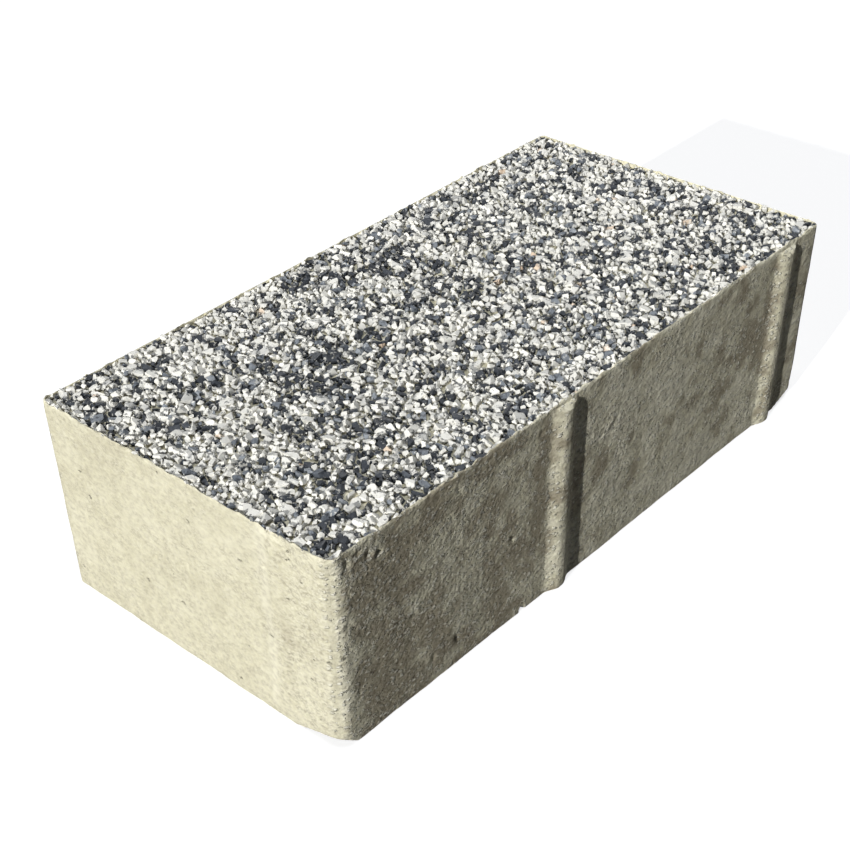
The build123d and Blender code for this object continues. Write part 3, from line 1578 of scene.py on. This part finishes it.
@dataclass(frozen=True)
class Lamp:
    """A distant lamp.

    Attributes:
        name: of the lamp.
        bearing: where it stands, in degrees from -X towards -Y.
        height: how high it stands, in degrees.
        strength: how strong it is.
        spread: how wide it looks, in degrees.
        tint: colour of its light.
    """

    name: str
    bearing: float
    height: float
    strength: float
    spread: float
    tint: Colour = (1.0, 1.0, 1.0)

    def build(self) -> bpy.types.Object:
        """Make the lamp.

        Returns:
            The lamp.
        """
        data = bpy.data.lights.new(self.name, "SUN")
        data.energy = self.strength
        data.color = self.tint
        data.angle = math.radians(self.spread)
        lamp = link_new(self.name, data)
        turn, up = math.radians(self.bearing), math.radians(self.height)
        towards = Vector((-math.cos(up) * math.cos(turn), -math.cos(up) * math.sin(turn), math.sin(up)))
        lamp.rotation_mode = "QUATERNION"
        lamp.rotation_quaternion = towards.to_track_quat("Z", "Y")
        return lamp


@dataclass(frozen=True)
class Studio:
    """Pale floor, white surroundings and the lamps.

    Attributes:
        lamps: the key lamp, a soft one overhead and a soft one from behind.
        sky: light from all round on the block.
        floor_glow: share of the floor's white that no shadow takes away.
        floor_white: colour of the floor as it is seen.
        floor_dull: colour of the floor as it lights the block.
        floor_size: width of the floor.
    """

    lamps: tuple[Lamp, ...] = (
        Lamp("key", 10.8, 18.5, 3.6, 0.6),
        Lamp("overhead", 0.0, 90.0, 1.4, 30.0, (0.91, 0.94, 1.0)),
        Lamp("back_fill", 228.0, 6.0, 1.0, 40.0),
    )
    sky: Colour = (0.008, 0.0085, 0.0095)
    floor_glow: float = 0.75
    floor_white: Colour = (0.42, 0.42, 0.42)
    floor_dull: Colour = (0.02, 0.02, 0.02)
    floor_size: float = 6.0

    def build(self) -> None:
        """Make the floor, the surroundings and the lamps."""
        for lamp in self.lamps:
            lamp.build()
        self._world()
        self._floor()
        bpy.context.scene.view_settings.view_transform = "Standard"

    @staticmethod
    def _seen(bench: NodeBench) -> bpy.types.NodeSocket:
        """1 for rays from the camera, straight, mirrored or through glass, and 0 for the rest."""
        path = bench.add("ShaderNodeLightPath")
        direct = bench.maths("MAXIMUM", path.outputs["Is Camera Ray"], path.outputs["Is Glossy Ray"])
        return bench.maths("MAXIMUM", direct, path.outputs["Is Transmission Ray"])

    def _world(self) -> None:
        """White where it is seen, and a weak even sky for the block."""
        world = bpy.data.worlds.new("surroundings")
        world.use_nodes = True
        bpy.context.scene.world = world
        bench = NodeBench(world.node_tree)
        colour = bench.mix(self._seen(bench), self.sky, (1.0, 1.0, 1.0))
        light = bench.add("ShaderNodeBackground", None, Color=colour, Strength=1.0)
        bench.add("ShaderNodeOutputWorld", None, Surface=light.outputs[0])

    def _floor(self) -> None:
        """A wide level floor that keeps the block's shadow."""
        floor = add_primitive(bpy.ops.mesh.primitive_plane_add, size=self.floor_size)
        floor.name = "floor"
        material, bench = new_material("floor_paint")
        seen = self._seen(bench)
        colour = bench.mix(seen, self.floor_dull, self.floor_white)
        paint = bench.add("ShaderNodeBsdfDiffuse", None, Color=colour)
        glow = bench.add("ShaderNodeEmission", None, Strength=bench.maths("MULTIPLY", seen, self.floor_glow))
        both = bench.add("ShaderNodeAddShader")
        bench.feed(both, 0, paint.outputs[0])
        bench.feed(both, 1, glow.outputs[0])
        bench.add("ShaderNodeOutputMaterial", None, Surface=both.outputs[0])
        floor.data.materials.append(material)


def main() -> None:
    """Build the block, dress it and set up the picture."""
    logging.basicConfig(level=logging.INFO, format="%(name)s: %(message)s")
    PhotoCamera().build()
    Studio().build()
    effects = SharedEffects()
    body = BlockBody(CAD_LOW, CAD_HIGH)
    body.build()
    body.dress(ConcreteFinish().make(effects), BedCementAndShade().make(effects))
    log.info("%s: %d faces", body.obj.name, len(body.obj.data.polygons))
    bed = ChipBed(body)
    bed.build()
    bed.dress({finish.stone: finish.make(effects, body) for finish in STONE_FINISHES})
    for piece in bed.pieces.values():
        log.info("%s: %d faces", piece.name, len(piece.data.polygons))


if __name__ == "__main__":
    main()
